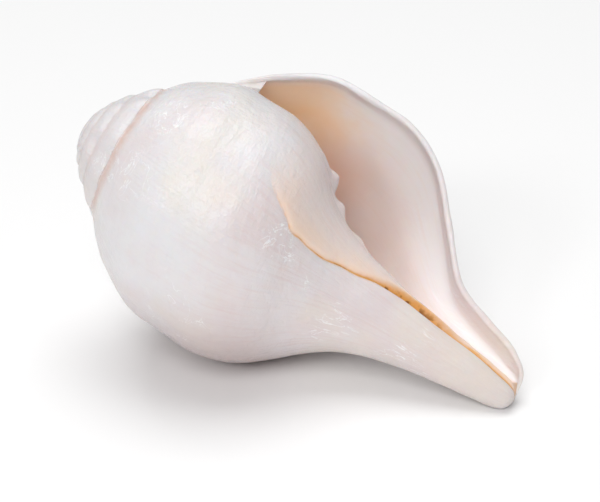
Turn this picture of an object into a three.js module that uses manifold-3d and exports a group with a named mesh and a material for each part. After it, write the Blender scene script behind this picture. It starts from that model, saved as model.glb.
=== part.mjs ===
// A chank, a right-handed sea shell, lying on its back with its mouth turned up.
// Millimetres, +Z up, origin on the floor below the middle of the shell's box.
import * as THREE from 'three';
import Module from 'manifold-3d';
import { ParametricGeometry } from 'three/addons/geometries/ParametricGeometry.js';
import { mergeGeometries, mergeVertices } from 'three/addons/utils/BufferGeometryUtils.js';

const wasm = await Module();
wasm.setup();

const TURN = 2 * Math.PI;
const { degToRad, lerp } = THREE.MathUtils;

// The coil. In its own frame the apex is the origin and the canal points down the Z axis.
// An angle counts backwards from the edge of the outer lip, so larger angles are older shell.
const WHORL_RATIO = 1.486;
const SPIRE_TURNS = 2.6;
const BLUNT_APEX = 9.8;

// The spire leans a little to one side and swells into a dome, most at the apex
const SPIRE_LEAN = 7.3;
const SPIRE_LEAN_TO = degToRad(222);
const SPIRE_LEAN_FADE = 25;
const DOME_SWELL = 0.25;
const DOME_HEIGHT = -4.5;
const DOME_FADE = 15.5;

// Outline of the outer wall at the lip: radius and height from the suture to the canal's tip
const SUTURE = new THREE.Vector2(31.5, -34.4);
const SHOULDER_BULGE = 1.7;
const TIP_HEIGHT = -176.8;
const WALL_LEVELS = [0.12, 0.25, 0.38, 0.5, 0.61, 0.72, 0.83, 0.93, 0.985];
const WALL_RADII = [54.5, 55.5, 55, 48.5, 35.5, 21.5, 13, 8.2, 5];

// The outer lip spreads a little on the body and far more along the canal
const BODY_FLARE = 0.072;
const BODY_FLARE_REACH = 0.36;
const CANAL_FLARE = 0.75;
const CANAL_FLARE_REACH = 1;
const CANAL_START = 0.58;
const CANAL_BLEND = 0.25;
const STRAIGHT_CANAL_HEIGHT = -128;

// Low knobs on the shoulder of the older whorls
const KNOBS_PER_TURN = 11;
const KNOB_SHARE = 0.042;

// Wall, and the thicker back of the canal
const WALL = 4.2;
const CANAL_BACKING = 4;
const CANAL_FLOOR_SETBACK = 0.6;
const LEAST_GAP = 2.6;

// At the lip the upper corner of the mouth is filled in to this width
const CORNER_GAP = 7;
const CORNER_REACH = 0.6;
const HOLLOW_TURNS = 2.2;

// Callus spread over the inner side of the mouth: where its edge runs, in degrees, every tenth
// of the way from the corner of the mouth to the tip
const CALLUS_EDGE = [360, 346, 313, 288, 274, 268, 278, 318, 325, 317, 310];
const CALLUS_DEPTH = 0.9;
const EDGE_GROOVE = 0.3;
const CHINK_DEPTH = 3.2;
const CHINK_PLACE = 0.715;
const CHINK_LENGTH = 0.05;

const CALLUS_START = 0.3;
const CALLUS_RISE = 0.15;

// Folds winding up the columella: place, half width and height. They rise out of the callus
// just before it turns into the mouth.
const FOLDS = [
  { place: 0.484, width: 0.034, height: 4.6 },
  { place: 0.552, width: 0.021, height: 3.2 },
  { place: 0.608, width: 0.016, height: 1.6 },
];
const FOLDS_START = TURN - 0.33;
const FOLDS_RISE = 0.3;

// Resting pose: turn about the coil's axis, lean of the axis and heading on the floor, in degrees
const SPIN = -135.3;
const LEAN = 63.8;
const HEADING = 156.5;
const WORN_FLAT = 0.5;

// Facets
const COLUMNS = 44;
const STRIP_ROWS = 5;
const ROW_STRETCHES = [{ to: 0.44, rows: 10 }, { to: 0.64, rows: 10 }, { to: 1, rows: 9 }];
const CALLUS_ROWS = 6;
const HOLLOW_ROWS = 34;
const OUTLINE_SAMPLES = 300;

const smooth = (t) => THREE.MathUtils.smoothstep(t, 0, 1);
const bell = (t) => Math.exp(-t * t);
const growth = (angle) => WHORL_RATIO ** (-angle / TURN);

// The next whorl's suture lies on the outline where the suture, one whorl larger, would be
const seam = SUTURE.clone().multiplyScalar(WHORL_RATIO);
const outline = new THREE.SplineCurve([
  SUTURE,
  SUTURE.clone().lerp(seam, 0.5).add(new THREE.Vector2(SHOULDER_BULGE, 0)),
  seam,
  ...WALL_RADII.map((radius, i) => new THREE.Vector2(radius, lerp(seam.y, TIP_HEIGHT, WALL_LEVELS[i]))),
  new THREE.Vector2(0, TIP_HEIGHT),
]);
const SEAM_AT = 2 / (outline.points.length - 1);
const callusSpline = new THREE.SplineCurve(
  CALLUS_EDGE.map((degrees, i) => new THREE.Vector2(i, degToRad(degrees))),
);
const callusEdge = (below) => callusSpline.getPoint(below).y;

// How far a place on the outline is from the seam to the tip, 0 to 1
const belowSeam = (s) => THREE.MathUtils.clamp((s - SEAM_AT) / (1 - SEAM_AT), 0, 1);

// Outer surface in the half plane at an angle: radius and height
function outerWall(angle, s) {
  const { x, y } = outline.getPoint(s);
  const canal = smooth((belowSeam(s) - CANAL_START) / CANAL_BLEND);
  const rise = smooth(0.6 * s / SEAM_AT);
  const flare = rise * lerp(BODY_FLARE, CANAL_FLARE, canal);
  const reach = lerp(BODY_FLARE_REACH, CANAL_FLARE_REACH, canal);
  const straight = smooth((y - STRAIGHT_CANAL_HEIGHT) / (TIP_HEIGHT - STRAIGHT_CANAL_HEIGHT));
  const size = growth(angle);
  const knob = KNOB_SHARE * smooth((angle / TURN - 0.75) / 0.6) * bell((s / SEAM_AT - 0.95) / 0.75);
  const radius = Math.max(x, 0) * size * (1 + flare * Math.exp(-angle / reach));
  return new THREE.Vector2(radius * (1 + knob * Math.cos(KNOBS_PER_TURN * angle)), y * size ** (1 - straight));
}

// A point of a half plane in space, with the worn apex and the lean and swell of the spire
function place(angle, { x, y }) {
  const lean = SPIRE_LEAN * Math.exp(y / SPIRE_LEAN_FADE);
  const radius = x * (1 + DOME_SWELL * bell((y - DOME_HEIGHT) / DOME_FADE));
  return new THREE.Vector3(
    radius * Math.cos(angle) + lean * Math.cos(SPIRE_LEAN_TO),
    radius * Math.sin(angle) + lean * Math.sin(SPIRE_LEAN_TO),
    -Math.hypot(y, BLUNT_APEX),
  );
}

// Rows of facets from the suture to the tip, closest at the folds
const rows = [];
for (let j = 0; j < STRIP_ROWS; j++) rows.push(SEAM_AT * j / STRIP_ROWS);
let from = 0;
for (const { to, rows: count } of ROW_STRETCHES) {
  for (let j = 0; j < count; j++) rows.push(lerp(SEAM_AT, 1, lerp(from, to, j / count)));
  from = to;
}
rows.push(1);
const TIP_ROW = rows.length - 1;
const LAST_COLUMN = Math.round(COLUMNS * (1 + SPIRE_TURNS));

// The callus stands out of the wall only from some way below the corner of the mouth
const callusRise = (below) => smooth((below - CALLUS_START) / CALLUS_RISE);

// Groove along the callus edge, deepest in the chink beside the canal
const grooveAt = (below) =>
  EDGE_GROOVE * callusRise(below) + CHINK_DEPTH * bell((below - CHINK_PLACE) / CHINK_LENGTH);

// Vertex of the outer skin: a column of the coil and a row of the outline
function skin(column, row) {
  if (row === 0 && column + COLUMNS <= LAST_COLUMN) return skin(column + COLUMNS, STRIP_ROWS);
  if (row === TIP_ROW) return place(0, outline.getPoint(1));
  const below = belowSeam(rows[row]);
  const turn = row <= STRIP_ROWS ? TURN : callusEdge(below);
  const angle = turn * column / COLUMNS;
  const point = outerWall(angle, rows[row]);
  if (row > STRIP_ROWS && column >= COLUMNS - 1) {
    const share = column === COLUMNS ? 1 : 0.35;
    point.x -= Math.min(share * grooveAt(below), point.x / 2);
  }
  return place(angle, point);
}

// What lies on the wall runs out towards the tip
const tipTaper = (below) => smooth((1 - below) / 0.15);

function foldsOn(angle, s) {
  const below = belowSeam(s);
  const folds = FOLDS.reduce((sum, f) => sum + f.height * bell((below - f.place) / f.width), 0);
  return folds * smooth((angle - FOLDS_START) / FOLDS_RISE) * growth(angle - TURN);
}

// Callus and folds that lie on the older whorl inside the mouth
function callusOn(angle, s) {
  const below = belowSeam(s);
  return CALLUS_DEPTH * callusRise(below) * tipTaper(below) + foldsOn(angle, s);
}

function wallDepth(angle, s) {
  const canal = smooth((belowSeam(s) - 0.53) / 0.16);
  const lip = lerp(0.75, 1, smooth(angle / 0.5));
  const tip = lerp(0.6, 1, smooth((1 - belowSeam(s)) / 0.3));
  return WALL * lip * tip * growth(angle) + CANAL_BACKING * canal * smooth(angle / 1.3);
}

// A wall's outline in one half plane, set off from the outer surface by a depth
function offsetOutline(angle, depth) {
  const points = [];
  for (let i = 0; i <= OUTLINE_SAMPLES; i++) points.push(outerWall(angle, i / OUTLINE_SAMPLES));
  return points.map((point, i) => {
    const before = points[Math.max(i - 1, 0)];
    const along = points[Math.min(i + 1, OUTLINE_SAMPLES)].clone().sub(before).normalize();
    const out = new THREE.Vector2(-along.y, along.x);
    return point.clone().addScaledVector(out, depth(i / OUTLINE_SAMPLES));
  });
}

// Where a wall comes down to a height: its radius there and the place on the outline
function crossing(points, height) {
  const i = points.findIndex((point, k) => k > 0 && point.y <= height);
  if (i < 0) return { radius: points.at(-1).x, s: 1 };
  const [a, b] = [points[i - 1], points[i]];
  const share = THREE.MathUtils.clamp((a.y - height) / (a.y - b.y), 0, 1);
  return { radius: lerp(a.x, b.x, share), s: (i - 1 + share) / OUTLINE_SAMPLES };
}

// Share of the height from the first row to the last, for the rows of one side of the mouth
function heightShares(firstRow) {
  const heights = rows.slice(firstRow).map((s) => outline.getPoint(s).y);
  return heights.map((y) => (y - heights[0]) / (heights.at(-1) - heights[0]));
}
const wallShares = heightShares(0).slice(1, -1);
const coreShares = heightShares(STRIP_ROWS).slice(1, -1);

// Loop round the hollow in the half plane at an angle behind the lip: from the corner of the
// mouth down the outer wall to the canal, and back up the columella
function hollowOutline(angle) {
  const size = growth(angle);
  const wall = offsetOutline(angle, (s) => -wallDepth(angle, s));
  const core = offsetOutline(TURN + angle, (s) => callusOn(TURN + angle, s));
  const gap = (y) => crossing(wall, y).radius - crossing(core, y).radius;
  const step = 0.4 * size;
  const middle = -95 * size;
  const least = LEAST_GAP * size;
  const corner = lerp(CORNER_GAP, LEAST_GAP, smooth(angle / CORNER_REACH)) * size;
  let top = middle;
  while (gap(top + step) > corner) top += step;
  let bottom = middle;
  while (gap(bottom - step) > least && bottom - step > TIP_HEIGHT + 1.5) bottom -= step;
  const side = (points, share) => {
    const y = lerp(top, bottom, lerp(0.01, 0.99, share));
    const { radius, s } = crossing(points, y);
    return { x: radius, y, s };
  };
  const half = (y) => crossing(core, y).radius + gap(y) / 2;
  return [
    { x: half(top), y: top + 0.6 * least },
    ...wallShares.map((share) => side(wall, share)),
    { x: half(bottom), y: bottom - 0.4 * least },
    ...coreShares.map((share) => side(core, share)).reverse(),
  ];
}
const hollowLoop = (angle) => hollowOutline(angle).map((point) => place(angle, point));

// The rim of the mouth, in the order of the loops
const rim = [];
for (let row = 0; row <= TIP_ROW; row++) rim.push(skin(0, row));
for (let row = TIP_ROW - 1; row > STRIP_ROWS; row--) rim.push(skin(COLUMNS, row));
const mouthOutline = hollowOutline(0);
const mouth = mouthOutline.map((point) => place(0, point));
mouth[TIP_ROW].y += CANAL_FLOOR_SETBACK;

// Rows from the rim to the mouth: round the edge of the lip, and across the callus
function rimToMouth(k, share) {
  if (k === 0 || k === TIP_ROW) return rim[k].clone().lerp(mouth[k], share);
  const s = rows[TIP_ROW - Math.abs(TIP_ROW - k)];
  const below = belowSeam(s);
  const taper = tipTaper(below);
  if (k < TIP_ROW) {
    const round = Math.PI * share;
    const point = rim[k].clone().lerp(mouth[k], (1 - Math.cos(round)) / 2);
    point.y -= 0.42 * taper * Math.sin(round) * rim[k].distanceTo(mouth[k]);
    return point;
  }
  const onCallus = (along) => {
    const angle = lerp(callusEdge(below), TURN, along);
    const at = lerp(s, mouthOutline[k].s, taper * smooth(along));
    const rise = callusRise(belowSeam(at)) * smooth(along / 0.12);
    const point = outerWall(angle, at);
    point.x += CALLUS_DEPTH * taper * rise + foldsOn(angle, at);
    return place(angle, point);
  };
  const shift = mouth[k].clone().sub(onCallus(1));
  return onCallus(share).addScaledVector(shift, smooth(share));
}

const hollow = [];
for (let i = 0; i <= CALLUS_ROWS; i++) {
  hollow.push(rim.map((point, k) => (i === 0 ? point : rimToMouth(k, i / CALLUS_ROWS))));
}
for (let i = 1; i <= HOLLOW_ROWS; i++) {
  hollow.push(hollowLoop(TURN * HOLLOW_TURNS * (i / HOLLOW_ROWS) ** 1.2));
}
const hollowEnd = new THREE.Vector3();
hollow.at(-1).forEach((point) => hollowEnd.addScaledVector(point, 1 / rim.length));
hollow.push(rim.map(() => hollowEnd));

// Edge of the oldest strip, closed by a small cap at the apex
const capEdge = [];
for (let i = 1; i <= COLUMNS; i++) capEdge.push(skin(LAST_COLUMN - COLUMNS + i, 0));
for (let row = 1; row <= STRIP_ROWS; row++) capEdge.push(skin(LAST_COLUMN, row));
const apex = place(0, new THREE.Vector2());

// A patch of facets whose vertices a function gives by whole numbers
function patch(across, along, vertex) {
  const geometry = new ParametricGeometry(
    (u, v, target) => target.copy(vertex(Math.round(u * across), Math.round(v * along))),
    across,
    along,
  );
  geometry.deleteAttribute('normal');
  geometry.deleteAttribute('uv');
  return geometry;
}

const geometry = mergeVertices(mergeGeometries([
  patch(TIP_ROW, COLUMNS, (row, column) => skin(column, row)),
  patch(STRIP_ROWS, LAST_COLUMN - COLUMNS, (row, column) => skin(column + COLUMNS, row)),
  patch(capEdge.length, 1, (i, end) => (end ? apex : capEdge[i % capEdge.length])),
  patch(hollow.length - 1, rim.length, (i, k) => hollow[i][k % rim.length]),
]));

// A solid from a closed geometry, without the facets that shrank to a line at a pole
function solidOf(closed) {
  const index = closed.index.array;
  const triangles = [];
  for (let i = 0; i < index.length; i += 3) {
    const [a, b, c] = index.slice(i, i + 3);
    if (a !== b && b !== c && c !== a) triangles.push(a, b, c);
  }
  return new wasm.Manifold(new wasm.Mesh({
    numProp: 3,
    vertProperties: new Float32Array(closed.attributes.position.array),
    triVerts: new Uint32Array(triangles),
  }));
}

// Lay the shell down, let the floor take a little off where it rests, and centre it
geometry.rotateZ(degToRad(SPIN)).rotateY(degToRad(LEAN)).rotateZ(degToRad(HEADING));
geometry.computeBoundingBox();
const { min, max } = geometry.boundingBox;
geometry.translate(-(min.x + max.x) / 2, -(min.y + max.y) / 2, -min.z - WORN_FLAT);
const ground = new THREE.BoxGeometry(400, 400, 40).translate(0, 0, -20);
ground.deleteAttribute('normal');
ground.deleteAttribute('uv');
const worn = solidOf(geometry).subtract(solidOf(mergeVertices(ground))).getMesh();

const shape = new THREE.BufferGeometry();
shape.setAttribute('position', new THREE.BufferAttribute(worn.vertProperties, 3));
shape.setIndex(new THREE.BufferAttribute(worn.triVerts, 1));
const porcelain = new THREE.MeshStandardMaterial({ color: 0xe9e1de, roughness: 0.3, metalness: 0 });
const shell = new THREE.Mesh(shape, porcelain);
shell.name = 'shell';

const conch = new THREE.Group();
conch.add(shell);

export default conch;
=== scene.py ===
import math

import bpy
import numpy as np
from bpy.props import FloatProperty, FloatVectorProperty, IntProperty, PointerProperty
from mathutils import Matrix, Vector


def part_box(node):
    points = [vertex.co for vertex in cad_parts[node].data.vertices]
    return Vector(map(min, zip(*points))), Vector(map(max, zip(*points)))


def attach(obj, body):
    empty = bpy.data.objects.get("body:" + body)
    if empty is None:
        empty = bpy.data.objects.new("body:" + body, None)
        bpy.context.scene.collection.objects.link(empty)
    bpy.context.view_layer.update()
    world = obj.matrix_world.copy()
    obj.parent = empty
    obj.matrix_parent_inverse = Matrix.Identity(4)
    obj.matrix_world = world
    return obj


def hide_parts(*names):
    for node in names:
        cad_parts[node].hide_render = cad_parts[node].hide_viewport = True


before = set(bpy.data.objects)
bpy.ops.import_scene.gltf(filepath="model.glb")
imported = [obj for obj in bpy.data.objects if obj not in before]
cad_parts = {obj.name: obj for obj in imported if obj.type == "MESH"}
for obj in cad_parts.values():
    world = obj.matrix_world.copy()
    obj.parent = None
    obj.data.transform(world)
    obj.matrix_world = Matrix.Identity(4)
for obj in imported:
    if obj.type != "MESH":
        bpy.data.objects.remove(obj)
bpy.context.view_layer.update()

bl_info = {
    "name": "Conch Shell",
    "version": (1, 0, 0),
    "blender": (4, 5, 0),
    "location": "View3D > Sidebar > Conch",
    "description": "A polished white chank lying on its back, grown from its coil",
    "category": "Object",
}

TURN = 2 * math.pi
NODE = "shell"


def length(name, default, description):
    """A size in metres."""
    return FloatProperty(name=name, description=description, default=default, precision=5,
                         unit="LENGTH")


def share(name, default, description):
    """A plain number."""
    return FloatProperty(name=name, description=description, default=default, precision=4)


def turned(name, degrees, description):
    """An angle, given in degrees."""
    return FloatProperty(name=name, description=description, default=math.radians(degrees),
                         subtype="ANGLE")


def tint(name, red, green, blue, description):
    """A colour given as it looks on a screen, 0 to 255, and kept as light."""
    screen = np.array([red, green, blue]) / 255
    light = np.where(screen <= 0.04045, screen / 12.92, ((screen + 0.055) / 1.055) ** 2.4)
    return FloatVectorProperty(name=name, description=description, default=light.tolist(), size=3,
                               min=0, max=1, subtype="COLOR")


class ConchSizes(bpy.types.PropertyGroup):
    """Sizes of the coil, its mouth and its pose"""

    whorl_ratio: share("Whorl ratio", 1.486, "Size of a whorl against the one before it")
    spire_turns: share("Spire turns", 4.2, "Turns of spire above the last whorl")
    blunt_apex: length("Blunt apex", 0.0098, "How far the apex is worn down")
    spire_lean: length("Spire lean", 0.0073, "How far the apex stands off the coil's axis")
    spire_lean_to: turned("Spire leans to", 222, "Side to which the spire leans")
    spire_lean_fade: length("Spire lean fade", 0.025, "Height over which the lean dies away")
    dome_swell: share("Dome swell", 0.25, "How far the spire swells into a dome")
    dome_drop: length("Dome drop", 0.0045, "Where the spire swells most, below the coil's apex")
    dome_fade: length("Dome fade", 0.0155, "Height over which the swelling dies away")
    suture_radius: length("Suture radius", 0.0315, "Radius of the suture at the lip")
    suture_drop: length("Suture drop", 0.0344, "Height of the suture at the lip, below the coil's apex")
    shoulder_bulge: length("Shoulder bulge", 0.0017, "How far the shoulder swells above the next suture")
    tip_drop: length("Tip drop", 0.1768, "Height of the canal's tip below the coil's apex")
    wall_levels: FloatVectorProperty(
        name="Wall levels", description="Levels of the outline's points, from the seam to the tip",
        size=9, default=(0.12, 0.25, 0.38, 0.5, 0.61, 0.72, 0.83, 0.93, 0.985))
    wall_radii: FloatVectorProperty(
        name="Wall radii", description="Radii of the outer wall at those levels", size=9, unit="LENGTH",
        default=(0.0545, 0.0555, 0.055, 0.0485, 0.0355, 0.0215, 0.013, 0.0082, 0.005))
    body_flare: share("Body flare", 0.072, "How far the lip spreads on the body")
    canal_flare: share("Canal flare", 0.75, "How far the lip spreads along the canal")
    body_reach: turned("Body flare reach", 20.6, "Angle behind the lip where the body's flare fades")
    canal_reach: turned("Canal flare reach", 57.3, "Angle behind the lip where the canal's flare fades")
    straight_drop: length("Straight canal drop", 0.128, "Where the wall starts to run straight down")
    knobs: IntProperty(name="Knobs", description="Knobs on each turn of the spire", default=11)
    knob_share: share("Knob size", 0.036, "Height of a knob against the radius")
    wall: length("Wall", 0.0042, "Thickness of the wall")
    canal_backing: length("Canal backing", 0.004, "Extra thickness at the back of the canal")
    least_gap: length("Least gap", 0.0026, "Width at which the hollow closes")
    corner_gap: length("Corner gap", 0.0055, "Width to which the upper corner of the mouth is filled in")
    floor_setback: length("Canal floor setback", 0.0006, "How far the canal's floor starts behind the lip")
    hollow_turns: share("Hollow turns", 2.2, "Turns that the hollow winds behind the mouth")
    callus: length("Callus", 0.0009, "Thickness of the callus beside the mouth")
    groove: length("Edge groove", 0.0003, "Depth of the groove along the callus")
    chink: length("Chink", 0.0032, "Depth of the chink beside the canal")
    spin: turned("Spin", -135.3, "Turn about the coil's axis")
    lean: turned("Lean", 63.8, "Lean of the coil's axis")
    heading: turned("Heading", 156.5, "Heading on the floor")
    uneven_size: length("Uneven size", 0.012, "Width of the soft unevenness of the wall")
    uneven_height: length("Uneven height", 0.0008, "Height of the soft unevenness of the wall")
    worn_flat: length("Worn flat", 0.0005, "Depth of the worn places where the shell rests")


class ConchColours(bpy.types.PropertyGroup):
    """Colours of the shell and of the stage"""

    porcelain: tint("Porcelain", 232, 230, 232, "Polished outer wall")
    cream: tint("Cream", 234, 224, 208, "Faint creamy clouds in the wall")
    # Painted highlight: near-white colour for thin streaks painted into the wall as broken highlights on
    # the polish.
    painted_highlight: tint("Scratch", 252, 252, 253, "White scratches in the polish")
    blush: tint("Blush", 226, 212, 212, "Faint pink clouds in the wall")
    # Painted shade: a duller, darker pink painted on the underside near the floor, standing in for shade.
    painted_belly_shade: tint("Belly", 198, 180, 178, "Duller pink underneath")
    band: tint("Band", 224, 197, 187, "Band below the suture")
    suture: tint("Suture", 158, 128, 116, "Dark line at the suture")
    callus: tint("Callus", 248, 216, 192, "Peach glaze beside the mouth")
    stain: tint("Stain", 232, 170, 88, "Stain along the callus edge")
    crack: tint("Crack", 140, 78, 14, "Bottom of the stained crack")
    mouth_tan: tint("Mouth tan", 254, 212, 164, "Upper end of the mouth")
    mouth_deep: tint("Mouth deep", 246, 208, 184, "Deep inside the mouth")
    mouth_pale: tint("Mouth pale", 254, 249, 251, "Mouth near the lip, and the canal")
    floor: tint("Floor", 251, 251, 251, "Pale floor")


def smooth(t):
    """Ease from 0 to 1."""
    t = np.clip(t, 0, 1)
    return t * t * (3 - 2 * t)


def bell(t):
    """Rounded bump of height 1."""
    return np.exp(-np.square(t))


def mix(a, b, t):
    """Blend from a to b."""
    return a + (b - a) * t


def spline(points, t):
    """Point at share t of a smooth curve that passes every given point."""
    last = len(points) - 1
    x = np.clip(t, 0, 1) * last
    i = np.minimum(x.astype(int), last - 1)
    f = (x - i).reshape(x.shape + (1,) * (points.ndim - 1))
    a, b, c, d = (points[np.clip(i + k, 0, last)] for k in (-1, 0, 1, 2))
    return b + f / 2 * (c - a + f * (2 * a - 5 * b + 4 * c - d + f * (3 * (b - c) + d - a)))


class Coil:
    """The shell's surfaces. Angles count backwards from the lip, so larger ones are older shell."""

    COLUMNS = 240
    STRIP_ROWS = 14
    LOWER_ROWS = 150
    RIM_ROWS = 26
    NEAR_ROWS = 46
    FAR_ROWS = 40
    NEAR_TURN = 0.36
    SAMPLES = 900
    LOOP_SAMPLES = 1200
    CALLUS_SPACING = 1.35
    FAR_SPACING = 1.2
    CANAL_START = 0.58
    CANAL_BLEND = 0.25
    FLARE_START = 0.6
    KNOB_START, KNOB_RISE = 0.75, 0.6
    KNOB_PLACE, KNOB_SPREAD = 0.95, 0.75
    KNOB_UNEVEN, KNOB_UNEVEN_RATE = 0.2, 2.3
    KNOB_WANDER, KNOB_WANDER_RATE = 0.5, 3.7
    TIP_TAPER = 0.15
    LIP_THIN, LIP_THIN_REACH = 0.55, 0.6
    TIP_THIN, TIP_THIN_REACH = 0.6, 0.3
    BACKING_START, BACKING_BLEND, BACKING_REACH = 0.53, 0.16, 1.3
    LOOP_TOP, LOOP_MIDDLE, LOOP_END = 0.03, 0.095, 0.0015
    ROOF_RISE, FLOOR_DROP = 0.6, 0.4
    HEIGHT_INSET = 0.004
    CORNER_WHITE = 0.12
    CORNER_REACH = 0.6
    CALLUS_EDGE = (360, 346, 313, 288, 274, 268, 278, 318, 325, 317, 310)
    LIP_ROUNDING = 0.3
    EDGE_WANDER = ((0.013, 67, 0.0), (0.006, 119, 1.3))
    CHINK_PLACE = 0.715
    CHINK_LENGTH = 0.05
    CHINK_WIDTH = 0.0045
    CHINK_BOW = 0.09
    GROOVE_WIDTH = 0.0008
    CALLUS_BEVEL = 0.0016
    CALLUS_START = 0.3
    CALLUS_RISE = 0.15
    FOLDS = ((0.484, 0.034, 0.0046), (0.552, 0.021, 0.0032), (0.608, 0.016, 0.0016))
    FOLDS_START = TURN - 0.33
    FOLDS_RISE = 0.3

    def __init__(self, sizes):
        self.size = sizes
        suture = np.array([sizes.suture_radius, -sizes.suture_drop])
        seam = suture * sizes.whorl_ratio
        bulge = np.array([sizes.shoulder_bulge, 0])
        radii, levels = np.array(sizes.wall_radii), np.array(sizes.wall_levels)
        tip = -sizes.tip_drop
        lower = np.stack([radii, mix(seam[1], tip, levels)], axis=1)
        self.outline = np.vstack([suture, (suture + seam) / 2 + bulge, seam, lower, [0, tip]])
        self.seam_at = 2 / (len(self.outline) - 1)
        self.edge_points = np.radians(self.CALLUS_EDGE)
        strip = np.arange(self.STRIP_ROWS) / self.STRIP_ROWS * self.seam_at
        self.rows = np.append(strip, np.linspace(self.seam_at, 1, self.LOWER_ROWS + 1))
        self.tip_row = len(self.rows) - 1
        self.last_column = round(self.COLUMNS * (1 + sizes.spire_turns))

    def growth(self, angle):
        return self.size.whorl_ratio ** (-angle / TURN)

    def below(self, s):
        """How far a place on the outline is from the seam to the tip."""
        return np.clip((s - self.seam_at) / (1 - self.seam_at), 0, 1)

    def edge(self, below):
        """Angle at which the callus ends, on a slightly wandering line."""
        wander = sum(wide * np.sin(often * below + start) for wide, often, start in self.EDGE_WANDER)
        wander = wander * self.callus_rise(below) * self.tip_taper(below)
        return spline(self.edge_points, below) + wander - self.CHINK_BOW * self.chink_at(below)

    def tip_taper(self, below):
        return smooth((1 - below) / self.TIP_TAPER)

    def outer(self, angle, s):
        """Radius and height of the outer wall."""
        z = self.size
        angle, s = np.broadcast_arrays(np.asarray(angle, float), np.asarray(s, float))
        at = spline(self.outline, s)
        canal = smooth((self.below(s) - self.CANAL_START) / self.CANAL_BLEND)
        flare = smooth(self.FLARE_START * s / self.seam_at) * mix(z.body_flare, z.canal_flare, canal)
        reach = mix(z.body_reach, z.canal_reach, canal)
        straight = smooth((-z.straight_drop - at[..., 1]) / (z.tip_drop - z.straight_drop))
        knob = z.knob_share * smooth((angle / TURN - self.KNOB_START) / self.KNOB_RISE)
        knob = knob * bell((s / self.seam_at - self.KNOB_PLACE) / self.KNOB_SPREAD)
        knob = knob * (1 - self.KNOB_UNEVEN + self.KNOB_UNEVEN * np.sin(self.KNOB_UNEVEN_RATE * angle))
        knob = knob * np.cos(z.knobs * angle + self.KNOB_WANDER * np.sin(self.KNOB_WANDER_RATE * angle))
        size = self.growth(angle)
        radius = np.maximum(at[..., 0], 0) * size * (1 + flare * np.exp(-angle / reach))
        return radius * (1 + knob), at[..., 1] * size ** (1 - straight)

    def place(self, angle, radius, height):
        """Points in space, with the worn apex and the lean and swell of the spire."""
        z = self.size
        lean = z.spire_lean * np.exp(height / z.spire_lean_fade)
        radius = radius * (1 + z.dome_swell * bell((height + z.dome_drop) / z.dome_fade))
        return np.stack([radius * np.cos(angle) + lean * math.cos(z.spire_lean_to),
                         radius * np.sin(angle) + lean * math.sin(z.spire_lean_to),
                         -np.hypot(height, z.blunt_apex)], axis=-1)

    def callus_rise(self, below):
        """The callus stands out of the wall only from some way below the corner of the mouth."""
        return smooth((below - self.CALLUS_START) / self.CALLUS_RISE)

    def chink_at(self, below):
        """Where the callus edge opens into the chink."""
        return bell((below - self.CHINK_PLACE) / self.CHINK_LENGTH)

    def groove(self, below):
        """Depth of the groove along the callus, deepest in the chink."""
        z = self.size
        return (z.groove * self.callus_rise(below) * self.tip_taper(below)
                + z.chink * self.chink_at(below))

    def groove_width(self, below):
        return mix(self.GROOVE_WIDTH, self.CHINK_WIDTH, self.chink_at(below))

    def last_whorl(self):
        """The outer wall of the last whorl: angles, rows and points, one column after another."""
        below = self.below(self.rows)
        turn = np.where(np.arange(self.tip_row + 1) <= self.STRIP_ROWS, TURN, self.edge(below))
        share_round = np.arange(self.COLUMNS + 1)[:, None] / self.COLUMNS
        angle = share_round * turn
        s = np.broadcast_to(self.rows, angle.shape).copy()
        radius, height = self.outer(angle, s)
        off_edge = radius * (turn - angle)
        on_edge = np.arange(self.tip_row + 1) > self.STRIP_ROWS
        dip = self.groove(below) * bell(off_edge / self.GROOVE_WIDTH) * on_edge
        radius = radius - np.minimum(dip, radius / 2)
        points = self.place(angle, radius, height)
        points[:, 0] = self.suture(angle[:, 0])
        points[:, -1] = self.place(0, *self.outer(0, 1))
        return angle, s, off_edge, points

    def suture(self, angle):
        """Where a whorl meets the older one, on the older one's wall."""
        return self.place(angle + TURN, *self.outer(angle + TURN, self.seam_at))

    def spire(self):
        """The outer wall of the older whorls, from suture to suture."""
        columns = np.arange(self.COLUMNS, self.last_column + 1)
        angle = TURN * columns[:, None] / self.COLUMNS + np.zeros(self.STRIP_ROWS + 1)
        s = np.broadcast_to(self.rows[:self.STRIP_ROWS + 1], angle.shape)
        points = self.place(angle, *self.outer(angle, s))
        older = columns + self.COLUMNS <= self.last_column
        points[older, 0] = self.suture(angle[older, 0])
        return angle, s, points

    def on_core(self, angle, s):
        """Height of the callus and folds over the older whorl inside the mouth."""
        below = self.below(s)
        return self.size.callus * self.callus_rise(below) * self.tip_taper(below) + self.folds(angle, s)

    def folds(self, angle, s):
        """Height of the folds, which rise out of the callus just before it turns into the mouth."""
        ridges = sum(high * bell((self.below(s) - at) / wide) for at, wide, high in self.FOLDS)
        return ridges * smooth((angle - self.FOLDS_START) / self.FOLDS_RISE) * self.growth(angle - TURN)

    def wall_depth(self, angle, s):
        below = self.below(s)
        canal = smooth((below - self.BACKING_START) / self.BACKING_BLEND)
        lip = mix(self.LIP_THIN, 1, smooth(angle / self.LIP_THIN_REACH))
        tip = mix(self.TIP_THIN, 1, smooth((1 - below) / self.TIP_THIN_REACH))
        backing = self.size.canal_backing * canal * smooth(angle / self.BACKING_REACH)
        return self.size.wall * lip * tip * self.growth(angle) + backing

    def offset(self, angle, depth):
        """Outline of a wall in one half plane, set off by a depth; heights fall along it."""
        s = np.linspace(0, 1, self.SAMPLES)
        radius, height = self.outer(angle, s)
        along_r, along_z = np.gradient(radius), np.gradient(height)
        long = np.hypot(along_r, along_z)
        by = depth(s)
        radius = radius - along_z / long * by
        height = height + along_r / long * by
        return radius, np.minimum.accumulate(height)

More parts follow.
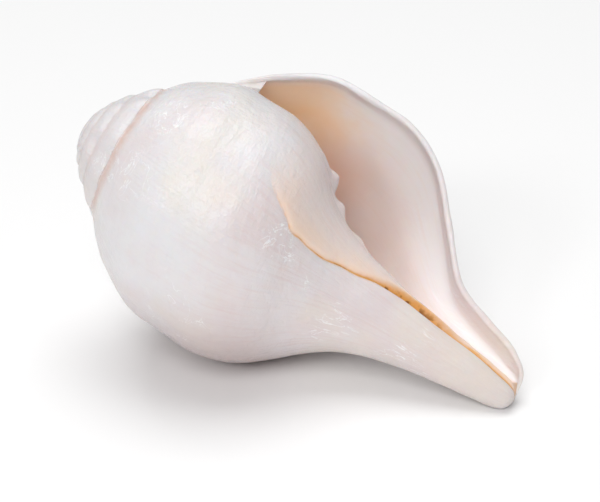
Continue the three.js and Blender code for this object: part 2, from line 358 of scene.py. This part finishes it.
    def heights(self, first):
        """How far down each row of a loop lies, from 0 to 1."""
        y = spline(self.outline, self.rows[first:])[:, 1]
        return mix(self.HEIGHT_INSET, 1 - self.HEIGHT_INSET, (y - y[0]) / (y[-1] - y[0]))[1:-1]

    def loop(self, angle):
        """Loop round the hollow behind the lip: down the outer wall and up the columella."""
        z = self.size
        size = float(self.growth(angle))
        wall = self.offset(angle, lambda s: -self.wall_depth(angle, s))
        core = self.offset(TURN + angle, lambda s: self.on_core(TURN + angle, s))
        wall_at = lambda y: np.interp(-y, -wall[1], wall[0])
        core_at = lambda y: np.interp(-y, -core[1], core[0])
        y = np.linspace(-self.LOOP_TOP * size, -z.tip_drop + self.LOOP_END, self.LOOP_SAMPLES)
        gap = wall_at(y) - core_at(y)
        corner = mix(z.corner_gap, z.least_gap, smooth(angle / self.CORNER_REACH)) * size
        middle = np.argmin(np.abs(y + self.LOOP_MIDDLE * size))
        top = y[middle - np.argmin(gap[middle::-1] > corner) + 1]
        below_middle = gap[middle:] > z.least_gap * size
        bottom = y[-1] if below_middle.all() else y[middle + np.argmin(below_middle) - 1]
        half = lambda level: (wall_at(level) + core_at(level)) / 2
        down = mix(top, bottom, self.heights(0))
        up = mix(top, bottom, self.heights(self.STRIP_ROWS))[::-1]
        radius = np.concatenate([[half(top)], wall_at(down), [half(bottom)], core_at(up)])
        height = np.concatenate([[top + self.ROOF_RISE * z.least_gap * size], down,
                                 [bottom - self.FLOOR_DROP * z.least_gap * size], up])
        outline_at = np.interp(-up, -core[1], np.linspace(0, 1, self.SAMPLES))
        return self.place(angle, radius, height), outline_at

    def hollow(self):
        """Rows from the rim of the mouth round the lip and over the callus, then up the coil."""
        z = self.size
        _, _, _, skin = self.last_whorl()
        rim = np.vstack([skin[0], skin[-1, self.tip_row - 1:self.STRIP_ROWS:-1]])
        mouth, core_at = self.loop(0)
        mouth[self.tip_row, 1] += z.floor_setback
        order = np.arange(len(rim))
        s = self.rows[self.tip_row - np.abs(self.tip_row - order)]
        below = self.below(s)
        taper = self.tip_taper(below)
        lip = order < self.tip_row
        corner = smooth(order / self.STRIP_ROWS)
        edge = self.edge(below)
        mouth_s = np.append(s[:self.tip_row + 1], core_at)
        rows, angles = [rim], [np.where(lip, 0, edge)]
        levels, inward = [s], [np.zeros(len(rim))]

        def across_callus(along):
            """Angle, place on the outline, distance from the edge and points across the callus."""
            angle = mix(edge, TURN, along)
            at = mix(s, mouth_s, taper * smooth(along))
            radius, height = self.outer(angle, at)
            off_edge = radius * (angle - edge)
            rise = z.callus * taper * self.callus_rise(self.below(at))
            rise = rise * smooth(off_edge / self.CALLUS_BEVEL)
            width = self.groove_width(below)
            dip = np.minimum(self.groove(below) * bell(off_edge / width), radius / 2)
            points = self.place(angle, radius + rise + self.folds(angle, at) - dip, height)
            return angle, at, off_edge, points

        reach = np.linalg.norm(mouth - rim, axis=1)
        to_mouth = mouth - across_callus(1)[3]
        for i in range(1, self.RIM_ROWS + 1):
            v = i / self.RIM_ROWS
            turn = math.pi * v
            round_lip = mix(rim, mouth, (1 - math.cos(turn)) / 2)
            bulge = self.LIP_ROUNDING * corner * taper * np.minimum(reach, z.wall)
            round_lip[:, 1] -= bulge * math.sin(turn)
            along = v ** self.CALLUS_SPACING
            angle, at, off_edge, across = across_callus(along)
            across = across + to_mouth * smooth(along)
            row = np.where(lip[:, None], round_lip, across)
            row[self.tip_row] = mix(rim, mouth, v)[self.tip_row]
            row[0] = (row[1] + row[-1]) / 2
            rows.append(row)
            angles.append(np.where(lip, 0, angle))
            levels.append(at)
            round_rim = np.minimum(reach, mix(z.wall, reach, self.CORNER_WHITE)) * v
            inward.append(np.where(lip, round_rim, off_edge))
        near = np.arange(1, self.NEAR_ROWS + 1) / self.NEAR_ROWS * self.NEAR_TURN
        far_share = (np.arange(1, self.FAR_ROWS + 1) / self.FAR_ROWS) ** self.FAR_SPACING
        far = mix(self.NEAR_TURN, z.hollow_turns, far_share)
        for turns in np.append(near, far):
            points, core_at = self.loop(turns * TURN)
            rows.append(points)
            angles.append(np.where(lip, turns, 1 + turns) * TURN)
            levels.append(np.append(s[:self.tip_row + 1], core_at))
            step = np.linalg.norm(rows[-1] - rows[-2], axis=1)
            inward.append(inward[-1] + step)
        return np.array(angles), np.array(levels), np.array(inward), np.array(rows), lip


def rest_turn(sizes):
    """Rotation that lays the coil down as it rests."""
    def about(axis, angle):
        c, s = math.cos(angle), math.sin(angle)
        if axis == "Z":
            return np.array([[c, -s, 0], [s, c, 0], [0, 0, 1]])
        return np.array([[c, 0, s], [0, 1, 0], [-s, 0, c]])
    return about("Z", sizes.heading) @ about("Y", sizes.lean) @ about("Z", sizes.spin)


def deselect():
    """Nothing selected, and object mode."""
    if bpy.context.object and bpy.context.object.mode != "OBJECT":
        bpy.ops.object.mode_set(mode="OBJECT")
    bpy.ops.object.select_all(action="DESELECT")


def lay_grid(name, points, growth, marks):
    """A grid whose vertices lie on a surface, with its growth map and its marks."""
    along, across = points.shape[:2]
    bpy.ops.mesh.primitive_grid_add(x_subdivisions=across - 1, y_subdivisions=along - 1, size=1)
    grid = bpy.context.object
    grid.name = name
    mesh = grid.data
    mesh.vertices.foreach_set("co", points.reshape(-1).astype(np.float32))
    corner = np.empty(len(mesh.loops), np.int32)
    mesh.loops.foreach_get("vertex_index", corner)
    mesh.uv_layers[0].name = "growth"
    at_corner = growth.reshape(-1, 2)[corner].astype(np.float32)
    mesh.uv_layers["growth"].data.foreach_set("uv", at_corner.reshape(-1))
    for mark, values in marks.items():
        layer = mesh.attributes.new(mark, "FLOAT", "POINT")
        everywhere = np.broadcast_to(values, (along, across)).astype(np.float32)
        layer.data.foreach_set("value", everywhere.reshape(-1))
    mesh.update()
    return grid


class ShellNodes:
    """Small helper that lays out a node tree in one line per node."""

    def __init__(self, tree):
        self.tree = tree

    def new(self, kind, **settings):
        node = self.tree.nodes.new(kind)
        for key, value in settings.items():
            setattr(node, key, value)
        return node

    def put(self, socket, value):
        if isinstance(value, bpy.types.NodeSocket):
            self.tree.links.new(value, socket)
        else:
            socket.default_value = value

    def math(self, operation, a, b=0.0, clamp=False):
        node = self.new("ShaderNodeMath", operation=operation, use_clamp=clamp)
        self.put(node.inputs[0], a)
        self.put(node.inputs[1], b)
        return node.outputs[0]

    def ease(self, value, low, high, to_low=0.0, to_high=1.0):
        node = self.new("ShaderNodeMapRange", interpolation_type="SMOOTHSTEP")
        for socket, entry in zip(node.inputs, (value, low, high, to_low, to_high)):
            self.put(socket, entry)
        return node.outputs[0]

    def blend(self, amount, a, b):
        node = self.new("ShaderNodeMix", data_type="RGBA")
        self.put(node.inputs["Factor"], amount)
        self.put(node.inputs[6], a)
        self.put(node.inputs[7], b)
        return node.outputs[2]

    def stretched(self, turn, round_scale, level, down_scale):
        """Growth coordinates, stretched so that marks run along or across the growth lines."""
        node = self.new("ShaderNodeCombineXYZ")
        self.put(node.inputs[0], self.math("MULTIPLY", turn, float(round_scale)))
        self.put(node.inputs[1], self.math("MULTIPLY", level, float(down_scale)))
        return node.outputs[0]

    def mark(self, name):
        return self.new("ShaderNodeAttribute", attribute_name=name).outputs["Fac"]

    def noise(self, vector, scale, detail=2.0, rough=0.5, distort=0.0):
        node = self.new("ShaderNodeTexNoise")
        self.put(node.inputs["Vector"], vector)
        node.inputs["Scale"].default_value = scale
        node.inputs["Detail"].default_value = detail
        node.inputs["Roughness"].default_value = rough
        node.inputs["Distortion"].default_value = distort
        return node.outputs["Fac"]


def rgba(colour):
    return (*colour, 1.0)


def shell_material(colours):
    """Polished shell: porcelain wall, tan band, peach callus with its stain, and the mouth's colours."""
    material = bpy.data.materials.new("polished_shell")
    material.use_nodes = True
    n = ShellNodes(material.node_tree)
    shader = material.node_tree.nodes["Principled BSDF"]
    here = n.new("ShaderNodeTexCoord").outputs["Object"]
    growth = n.new("ShaderNodeSeparateXYZ")
    n.put(growth.inputs[0], n.new("ShaderNodeUVMap", uv_map="growth").outputs["UV"])
    turn, level = growth.outputs[0], growth.outputs[1]
    lines = n.noise(n.stretched(turn, 150, level, 6), 1, 5, 0.62)
    streaks = n.noise(n.stretched(turn, 40, level, 60), 1, 4, 0.62, 0.6)
    pocks = n.noise(here, 380, 4, 0.6)

    colour = wall_colour(n, colours, here, turn, level, lines)
    colour = n.blend(n.mark("mouth"), colour, mouth_colour(n, colours, here, level, lines))
    glaze = n.math("MULTIPLY", n.mark("peach"), n.ease(n.noise(here, 70, 3, 0.6), 0.3, 0.65, 0.72, 1.0))
    colour = n.blend(glaze, colour, rgba(colours.callus))
    broken = n.ease(n.noise(here, 190, 3, 0.6), 0.3, 0.62, 0.7, 1.0)
    stain = n.math("MULTIPLY", n.mark("stain"), broken)
    colour = n.blend(n.ease(stain, 0.02, 0.55), colour, rgba(colours.stain))
    spots = n.ease(n.noise(here, 300, 2, 0.5), 0.48, 0.62, 0.45, 1.0)
    colour = n.blend(n.ease(n.math("MULTIPLY", stain, spots), 0.32, 0.72), colour, rgba(colours.crack))
    n.put(shader.inputs["Base Color"], colour)

    relief = n.math("ADD", n.math("MULTIPLY", lines, 0.4), n.math("MULTIPLY", streaks, 0.6))
    relief = n.math("ADD", relief, n.math("MULTIPLY", pocks, 0.6))
    relief = n.math("MULTIPLY", relief, n.ease(n.mark("mouth"), 0.0, 0.6, 1.0, 0.12))
    bump = n.new("ShaderNodeBump")
    bump.inputs["Strength"].default_value = 0.9
    bump.inputs["Distance"].default_value = 0.0006
    n.put(bump.inputs["Height"], relief)
    n.put(shader.inputs["Normal"], bump.outputs[0])
    n.put(shader.inputs["Coat Normal"], bump.outputs[0])
    n.put(shader.inputs["Roughness"], n.ease(streaks, 0.35, 0.65, 0.42, 0.6))
    shader.inputs["IOR"].default_value = 1.5
    shader.inputs["Subsurface Weight"].default_value = 0.35
    shader.inputs["Subsurface Radius"].default_value = (1.0, 0.6, 0.4)
    shader.inputs["Subsurface Scale"].default_value = 0.004
    shader.inputs["Coat Weight"].default_value = 0.4
    shader.inputs["Coat Roughness"].default_value = 0.1
    return material


def wall_colour(n, colours, here, turn, level, lines):
    """White wall with faint clouds and lines, thin white streaks painted as broken highlights, painted
    shade as a duller pink near the floor, a tan band and a dark line at the suture.
    """
    clouds = n.ease(n.noise(here, 30, 4, 0.6), 0.4, 0.7, 0.0, 0.5)
    lower = n.ease(level, 0.3, 0.55, 0.0, 0.4)
    lined = n.ease(lines, 0.45, 0.75, 0.0, 0.5)
    lined = n.math("MULTIPLY", lined, n.ease(level, 0.28, 0.5, 0.25, 1.0))
    pink = n.math("ADD", clouds, n.math("ADD", lower, lined), clamp=True)
    wall = n.blend(pink, rgba(colours.porcelain), rgba(colours.blush))
    wall = n.blend(n.ease(n.noise(here, 24, 3, 0.6), 0.48, 0.7, 0.0, 0.45), wall, rgba(colours.cream))
    # Painted shade: the body darkens to a duller pink towards the floor, painted in place of shade
    # underneath.
    height = n.new("ShaderNodeSeparateXYZ")
    n.put(height.inputs[0], here)
    low = n.ease(height.outputs[2], 0.0, 0.05, 1.0, 0.0)
    on_body = n.ease(level, 0.5, 0.64, 1.0, 0.0)
    wall = n.blend(n.math("MULTIPLY", low, on_body), wall, rgba(colours.painted_belly_shade))
    # Painted highlight: thin wavy white streaks in patches, painted into the colour to stand for broken
    # highlights.
    wavy = n.noise(n.stretched(turn, 30, level, 22), 1, 3, 0.6, 1.0)
    squiggle = n.math("ABSOLUTE", n.math("SUBTRACT", wavy, 0.5))
    patches = n.ease(n.noise(here, 34, 2, 0.5), 0.6, 0.68)
    painted_highlight_streaks = n.math("MULTIPLY", n.ease(squiggle, 0.0, 0.02, 0.8, 0.0), patches)
    wall = n.blend(painted_highlight_streaks, wall, rgba(colours.painted_highlight))
    patchy = n.ease(n.noise(here, 160, 3, 0.6), 0.3, 0.6, 0.45, 1.0)
    wall = n.blend(n.math("MULTIPLY", n.mark("band"), patchy), wall, rgba(colours.band))
    wander = n.math("ADD", level, n.ease(n.noise(here, 420, 2, 0.5), 0.3, 0.7, -0.001, 0.001))
    line = n.ease(wander, 0.001, 0.0028, 0.75, 0.0)
    line = n.math("MULTIPLY", line, n.ease(turn, 0.98, 1.15, 1.0, 0.15))
    return n.blend(line, wall, rgba(colours.suture))


def mouth_colour(n, colours, here, level, lines):
    """Pale near the lip and brownish deep inside, with an orange tan at the upper end."""
    cloud = n.ease(n.noise(here, 40, 3, 0.55), 0.3, 0.7, -0.04, 0.04)
    upper = n.ease(n.math("ADD", level, cloud), 0.14, 0.36, 1.0, 0.0)
    deep = n.math("MULTIPLY", n.mark("deep"), n.ease(level, 0.32, 0.5, 1.0, 0.4))
    mouth = n.blend(deep, rgba(colours.mouth_pale), rgba(colours.mouth_deep))
    tanned = n.math("MULTIPLY", upper, n.ease(deep, 0.0, 0.3, 0.75, 1.0))
    mouth = n.blend(tanned, mouth, rgba(colours.mouth_tan))
    return n.blend(n.ease(lines, 0.45, 0.8, 0.0, 0.15), mouth, rgba(colours.mouth_deep))


class CONCH_OT_shell(bpy.types.Operator):
    """Grow the shell as one closed piece and lay it in its resting pose"""

    bl_idname = "conch.shell"
    bl_label = "Shell"

    STAIN_ON_WALL, CHINK_ON_WALL = 0.0003, 0.0003
    STAIN_ON_CALLUS, CHINK_ON_CALLUS = 0.0005, 0.0042
    OLD_BAND = 0.25
    WHITE_RIM, RIM_FADE = 0.0042, 0.0065
    DEEP_START, DEEP_FADE = 0.012, 0.04
    PEACH_START, PEACH_RISE, PEACH_FADE = 0.3, 0.12, 0.009
    CALLUS_TURN = 0.6
    BELOW_SUTURE = 0.006

    def execute(self, context):
        sizes, colours = context.scene.conch_sizes, context.scene.conch_colours
        coil = Coil(sizes)
        deselect()
        parts = [self.whorl(coil), self.spire(coil), self.hollow(coil)]
        deselect()
        for part in parts:
            part.select_set(True)
        context.view_layer.objects.active = parts[0]
        bpy.ops.object.join()
        shell = context.object
        shell.name = "shell_polished"
        shell.data.name = "shell_polished"
        self.close(shell)
        self.make_uneven(shell, sizes)
        self.lay_down(shell, sizes)
        shell.data.materials.clear()
        shell.data.materials.append(shell_material(colours))
        deselect()
        shell.select_set(True)
        context.view_layer.objects.active = shell
        bpy.ops.object.shade_smooth_by_angle(angle=math.radians(50))
        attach(shell, "root")
        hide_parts(NODE)
        return {"FINISHED"}

    def whorl(self, coil):
        angle, s, off_edge, points = coil.last_whorl()
        below = coil.below(s)
        stain_width = self.STAIN_ON_WALL + self.CHINK_ON_WALL * coil.chink_at(below)
        stain = stain_along(below) * np.exp(-off_edge / stain_width)
        return lay_grid("whorl", points, np.stack([angle / TURN, s], -1), {
            "band": band_mark(coil, s), "mouth": 0, "deep": 0, "peach": 0, "stain": stain})

    def spire(self, coil):
        angle, s, points = coil.spire()
        return lay_grid("spire", points, np.stack([angle / TURN, s], -1), {
            "band": band_mark(coil, s) * mix(self.OLD_BAND, 1, smooth((1.2 - angle / TURN) / 0.2)),
            "mouth": 0, "deep": 0, "peach": 0, "stain": 0})

    def hollow(self, coil):
        angle, s, inward, points, lip = coil.hollow()
        below = coil.below(s)
        closed = lambda a: np.concatenate([a, a[:, :1]], axis=1)
        on_lip = np.broadcast_to(lip, inward.shape)
        mouth = np.where(on_lip, smooth((inward - self.WHITE_RIM) / self.RIM_FADE),
                         smooth((angle - TURN + 0.1) / 0.5))
        deep = np.where(on_lip, smooth((inward - self.DEEP_START) / self.DEEP_FADE),
                        smooth((angle - TURN) / 1.2))
        callus = ~on_lip & (angle < TURN + self.CALLUS_TURN)
        peach = callus * smooth((below - self.PEACH_START) / self.PEACH_RISE) * coil.tip_taper(below)
        peach = peach * np.exp(-inward / self.PEACH_FADE)
        stain_width = self.STAIN_ON_CALLUS + self.CHINK_ON_CALLUS * coil.chink_at(below)
        stain = callus * stain_along(below) * np.exp(-inward / stain_width)
        growth = np.stack([angle / TURN, np.maximum(s, self.BELOW_SUTURE)], -1)
        return lay_grid("hollow", closed(points), closed(growth), {
            "band": 0, "mouth": closed(mouth), "deep": closed(deep * mouth),
            "peach": closed(peach), "stain": closed(stain)})

    def close(self, shell):
        """Weld the patches along their shared edges and close the two ends."""
        bpy.ops.object.mode_set(mode="EDIT")
        bpy.ops.mesh.select_mode(type="VERT")
        bpy.ops.mesh.select_all(action="SELECT")
        bpy.ops.mesh.remove_doubles(threshold=1e-6)
        bpy.ops.mesh.dissolve_degenerate(threshold=1e-7)
        bpy.ops.mesh.fill_holes(sides=0)
        bpy.ops.mesh.select_all(action="SELECT")
        bpy.ops.mesh.normals_make_consistent(inside=False)
        bpy.ops.object.mode_set(mode="OBJECT")

    def make_uneven(self, shell, sizes):
        """A slight, soft unevenness over the whole wall."""
        texture = bpy.data.textures.new("uneven", "CLOUDS")
        texture.noise_scale = sizes.uneven_size
        texture.noise_depth = 4
        bpy.ops.object.modifier_add(type="DISPLACE")
        displace = shell.modifiers[-1]
        displace.texture = texture
        displace.texture_coords = "LOCAL"
        displace.mid_level = 0.5
        displace.strength = sizes.uneven_height
        bpy.ops.object.modifier_apply(modifier=displace.name)

    def lay_down(self, shell, sizes):
        """Turn the shell to its pose, fit it to its box and wear the places where it rests."""
        mesh = shell.data
        points = np.empty(3 * len(mesh.vertices), np.float32)
        mesh.vertices.foreach_get("co", points)
        points = points.reshape(-1, 3) @ rest_turn(sizes).T
        low, high = points.min(axis=0), points.max(axis=0)
        points -= [(low[0] + high[0]) / 2, (low[1] + high[1]) / 2, low[2] + sizes.worn_flat]
        box_high = np.array(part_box(NODE)[1])
        points *= (box_high / points.max(axis=0)).min()
        points[:, 2] = np.maximum(points[:, 2], 0)
        mesh.vertices.foreach_set("co", points.reshape(-1).astype(np.float32))
        mesh.update()


def band_mark(coil, s):
    """Tan band below the suture."""
    return smooth(1 - np.abs(s / coil.seam_at - 0.13) / 0.24)


def stain_along(below):
    """How strongly the callus edge is stained from the corner of the mouth to the tip."""
    places = [0.3, 0.4, 0.48, 0.56, 0.66, 0.72, 0.8, 0.93, 1]
    strengths = [0, 0.2, 0.45, 0.5, 0.8, 1, 0.7, 0.5, 0.3]
    return np.interp(below, places, strengths)


class CONCH_OT_stage(bpy.types.Operator):
    """Set up the pale floor, the soft lights and the camera"""

    bl_idname = "conch.stage"
    bl_label = "Stage"

    AIM = (0.00072, -0.00039, 0.03653)
    DISTANCE = 0.537
    ELEVATION = math.radians(26)
    LENS = 95.9
    SKY = 0.22
    LIGHTS = (
        ("key", (0.0, 0.5, 2.7), 2.2, 48.0),
        ("front", (-0.3, -1.82, 1.7), 1.2, 23.0),
        ("glint", (-1.0, -1.4, 1.1), 0.35, 4.5),
    )

    def execute(self, context):
        deselect()
        self.floor(context.scene.conch_colours)
        self.lights(context)
        self.camera(context)
        return {"FINISHED"}

    def floor(self, colours):
        bpy.ops.mesh.primitive_plane_add(size=6)
        floor = bpy.context.object
        floor.name = "floor"
        material = bpy.data.materials.new("pale_floor")
        material.use_nodes = True
        shader = material.node_tree.nodes["Principled BSDF"]
        shader.inputs["Base Color"].default_value = rgba(colours.floor)
        shader.inputs["Roughness"].default_value = 0.9
        shader.inputs["Specular IOR Level"].default_value = 0.0
        floor.data.materials.append(material)

    def lights(self, context):
        world = bpy.data.worlds.new("soft_room")
        context.scene.world = world
        world.use_nodes = True
        sky = world.node_tree.nodes["Background"]
        sky.inputs["Color"].default_value = (1, 1, 1, 1)
        sky.inputs["Strength"].default_value = self.SKY
        for name, place, size, power in self.LIGHTS:
            bpy.ops.object.light_add(type="AREA", location=place)
            light = bpy.context.object
            light.name = name
            light.data.size = size
            light.data.energy = power
            aim_at(light, (0, 0, 0.04))

    def camera(self, context):
        bpy.ops.object.camera_add()
        camera = bpy.context.object
        camera.name = "camera"
        back = math.cos(self.ELEVATION) * self.DISTANCE
        up = math.sin(self.ELEVATION) * self.DISTANCE
        camera.location = (self.AIM[0], self.AIM[1] - back, self.AIM[2] + up)
        camera.rotation_euler = (math.pi / 2 - self.ELEVATION, 0, 0)
        camera.data.lens = self.LENS
        camera.data.sensor_width = 36
        camera.data.clip_start = 0.01
        context.scene.camera = camera
        context.scene.view_settings.view_transform = "Standard"


def aim_at(thing, point):
    """Turn a light to face a point."""
    way = Vector(point) - thing.location
    thing.rotation_euler = way.to_track_quat("-Z", "Y").to_euler()


class CONCH_PT_panel(bpy.types.Panel):
    """Sizes, colours and making of the conch shell"""

    bl_label = "Conch Shell"
    bl_idname = "CONCH_PT_panel"
    bl_space_type = "VIEW_3D"
    bl_region_type = "UI"
    bl_category = "Conch"

    def draw(self, context):
        layout = self.layout
        for group in (context.scene.conch_sizes, context.scene.conch_colours):
            box = layout.box()
            for key in group.__annotations__:
                box.prop(group, key)
        layout.operator(CONCH_OT_shell.bl_idname)
        layout.operator(CONCH_OT_stage.bl_idname)


CLASSES = (ConchSizes, ConchColours, CONCH_OT_shell, CONCH_OT_stage, CONCH_PT_panel)


def register():
    for each in CLASSES:
        bpy.utils.register_class(each)
    bpy.types.Scene.conch_sizes = PointerProperty(type=ConchSizes)
    bpy.types.Scene.conch_colours = PointerProperty(type=ConchColours)


def unregister():
    del bpy.types.Scene.conch_colours
    del bpy.types.Scene.conch_sizes
    for each in reversed(CLASSES):
        bpy.utils.unregister_class(each)


def main():
    register()
    bpy.ops.conch.shell()
    bpy.ops.conch.stage()


if __name__ == "__main__":
    main()
